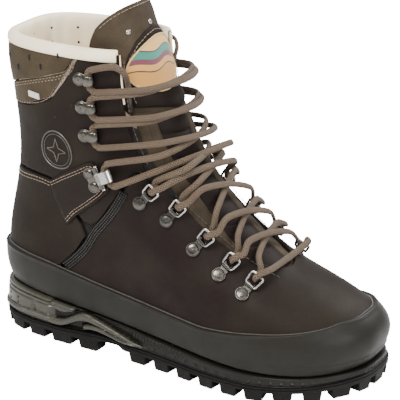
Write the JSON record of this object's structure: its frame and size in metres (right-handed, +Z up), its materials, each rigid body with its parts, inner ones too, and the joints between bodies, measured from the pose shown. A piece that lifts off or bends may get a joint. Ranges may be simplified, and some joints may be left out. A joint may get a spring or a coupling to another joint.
{
  "type": "mountaineering boot",
  "caption": "High-cut laced leather mountaineering boot with rubber rand, lugged sole, swinging lace rings, speed hooks and locking ankle hooks.",
  "frame": {"origin": "middle of the bounding box on the ground under the tread", "axes": "+X to the toe, +Y to the inner (medial) side of this right boot, +Z up"},
  "size_m": [0.3042, 0.1114, 0.2612],
  "materials": {
    "tread_rubber": "moulded",
    "midsole_foam": "moulded",
    "stabilizer": "moulded",
    "rand_rubber": "satin",
    "dark_leather": "waxed nubuck",
    "olive_leather": "soft nubuck",
    "cream_leather": "smooth lining",
    "gusset_fabric": "woven",
    "lining_fabric": "knitted",
    "stiffener": "plain",
    "board": "plain",
    "footbed_felt": "felt",
    "steel_plate": "brushed",
    "dark_metal": "dark nickel",
    "bright_metal": "polished nickel",
    "lace_cord": "braided",
    "aglet": "shrunk film",
    "label_cloth": "woven",
    "tag_cloth": "woven"
  },
  "bodies": {
    "boot": {"outsole": "tread_rubber", "midsole": "midsole_foam", "stabilizer_lateral": "stabilizer", "stabilizer_medial": "stabilizer", "shank": "steel_plate", "insole_board": "board", "rand": "rand_rubber", "vamp": "dark_leather", "heel_panel": "dark_leather", "quarter_lateral": "dark_leather", "quarter_medial": "dark_leather", "collar_panel_lower": "olive_leather", "collar_panel_upper": "olive_leather", "ankle_strap_lateral": "dark_leather", "ankle_strap_medial": "dark_leather", "side_tag": "tag_cloth", "heel_counter": "stiffener", "toe_puff": "stiffener", "bootie_lining": "lining_fabric", "collar_lining": "cream_leather", "gusset_lateral": "gusset_fabric", "gusset_medial": "gusset_fabric", "tongue": "olive_leather", "tongue_cover": "dark_leather", "speed_hooks_lateral": "dark_metal", "speed_hooks_medial": "dark_metal", "lock_base_lateral": "dark_metal", "lock_base_medial": "dark_metal", "lock_pin_lateral": "bright_metal", "lock_pin_medial": "bright_metal", "ring_clips_lateral": "dark_metal", "ring_clips_medial": "dark_metal", "rivets_lateral": "dark_metal", "rivets_medial": "dark_metal", "boot_lace": "lace_cord", "lace_aglets": "aglet"},
    "removable_footbed": {"footbed": "footbed_felt"},
    "upper_tongue": {"tongue_top": "olive_leather", "tongue_top_cover": "dark_leather", "tongue_label": "label_cloth", "tongue_studs": "bright_metal"},
    "lock_hook_lateral_body": {"lock_hook_lateral": "bright_metal"},
    "lock_hook_medial_body": {"lock_hook_medial": "bright_metal"},
    "ring_lateral_1": {"lace_ring_lateral_1": "bright_metal"},
    "ring_lateral_2": {"lace_ring_lateral_2": "bright_metal"},
    "ring_lateral_3": {"lace_ring_lateral_3": "bright_metal"},
    "ring_lateral_4": {"lace_ring_lateral_4": "bright_metal"},
    "ring_lateral_5": {"lace_ring_lateral_5": "bright_metal"},
    "ring_medial_1": {"lace_ring_medial_1": "bright_metal"},
    "ring_medial_2": {"lace_ring_medial_2": "bright_metal"},
    "ring_medial_3": {"lace_ring_medial_3": "bright_metal"},
    "ring_medial_4": {"lace_ring_medial_4": "bright_metal"},
    "ring_medial_5": {"lace_ring_medial_5": "bright_metal"}
  },
  "joints": [
    {"name": "ring_swing_lateral_1", "type": "hinge", "parent": "boot", "child": "ring_lateral_1", "pos_m": [-0.01135, -0.04169, 0.13153], "axis": [-0.7082, -0.0682, 0.7028], "range_deg": [-3, 3]},
    {"name": "ring_swing_lateral_2", "type": "hinge", "parent": "boot", "child": "ring_lateral_2", "pos_m": [0.00794, -0.03767, 0.12187], "axis": [-0.7679, -0.0826, 0.6352], "range_deg": [-3, 3]},
    {"name": "ring_swing_lateral_3", "type": "hinge", "parent": "boot", "child": "ring_lateral_3", "pos_m": [0.02953, -0.03635, 0.1037], "axis": [-0.7562, 0.0387, 0.6532], "range_deg": [-3, 3]},
    {"name": "ring_swing_lateral_4", "type": "hinge", "parent": "boot", "child": "ring_lateral_4", "pos_m": [0.05008, -0.03622, 0.08972], "axis": [-0.8312, 0.075, 0.5509], "range_deg": [-3, 3]},
    {"name": "ring_swing_lateral_5", "type": "hinge", "parent": "boot", "child": "ring_lateral_5", "pos_m": [0.06906, -0.03709, 0.07981], "axis": [-0.8752, 0.1144, 0.47], "range_deg": [-3, 3]},
    {"name": "lock_hook_swing_lateral", "type": "hinge", "parent": "boot", "child": "lock_hook_lateral_body", "pos_m": [-0.04614, -0.04821, 0.14103], "axis": [-0.3941, -0.0057, 0.9191], "range_deg": [-5, 3]},
    {"name": "ring_swing_medial_1", "type": "hinge", "parent": "boot", "child": "ring_medial_1", "pos_m": [-0.01138, 0.04027, 0.13157], "axis": [0.7117, -0.0528, -0.7005], "range_deg": [-3, 3]},
    {"name": "ring_swing_medial_2", "type": "hinge", "parent": "boot", "child": "ring_medial_2", "pos_m": [0.00785, 0.03664, 0.12192], "axis": [0.7766, -0.0543, -0.6277], "range_deg": [-3, 3]},
    {"name": "ring_swing_medial_3", "type": "hinge", "parent": "boot", "child": "ring_medial_3", "pos_m": [0.02937, 0.03667, 0.10375], "axis": [0.7729, 0.0759, -0.6299], "range_deg": [-3, 3]},
    {"name": "ring_swing_medial_4", "type": "hinge", "parent": "boot", "child": "ring_medial_4", "pos_m": [0.05, 0.03792, 0.08978], "axis": [0.8412, 0.0962, -0.532], "range_deg": [-3, 3]},
    {"name": "ring_swing_medial_5", "type": "hinge", "parent": "boot", "child": "ring_medial_5", "pos_m": [0.06913, 0.03947, 0.07999], "axis": [0.8756, 0.1302, -0.4651], "range_deg": [-3, 3]},
    {"name": "lock_hook_swing_medial", "type": "hinge", "parent": "boot", "child": "lock_hook_medial_body", "pos_m": [-0.04614, 0.04663, 0.14105], "axis": [0.3943, -0.0023, -0.919], "range_deg": [-5, 3]},
    {"name": "tongue_flex", "type": "hinge", "parent": "boot", "child": "upper_tongue", "pos_m": [-0.00668, -0.0008, 0.17931], "axis": [0, 1, 0], "range_deg": [-8, 8]},
    {"name": "footbed_lift", "type": "slide", "parent": "boot", "child": "removable_footbed", "axis": [0, 0, 1], "range_m": [0, 0.008]}
  ]
}
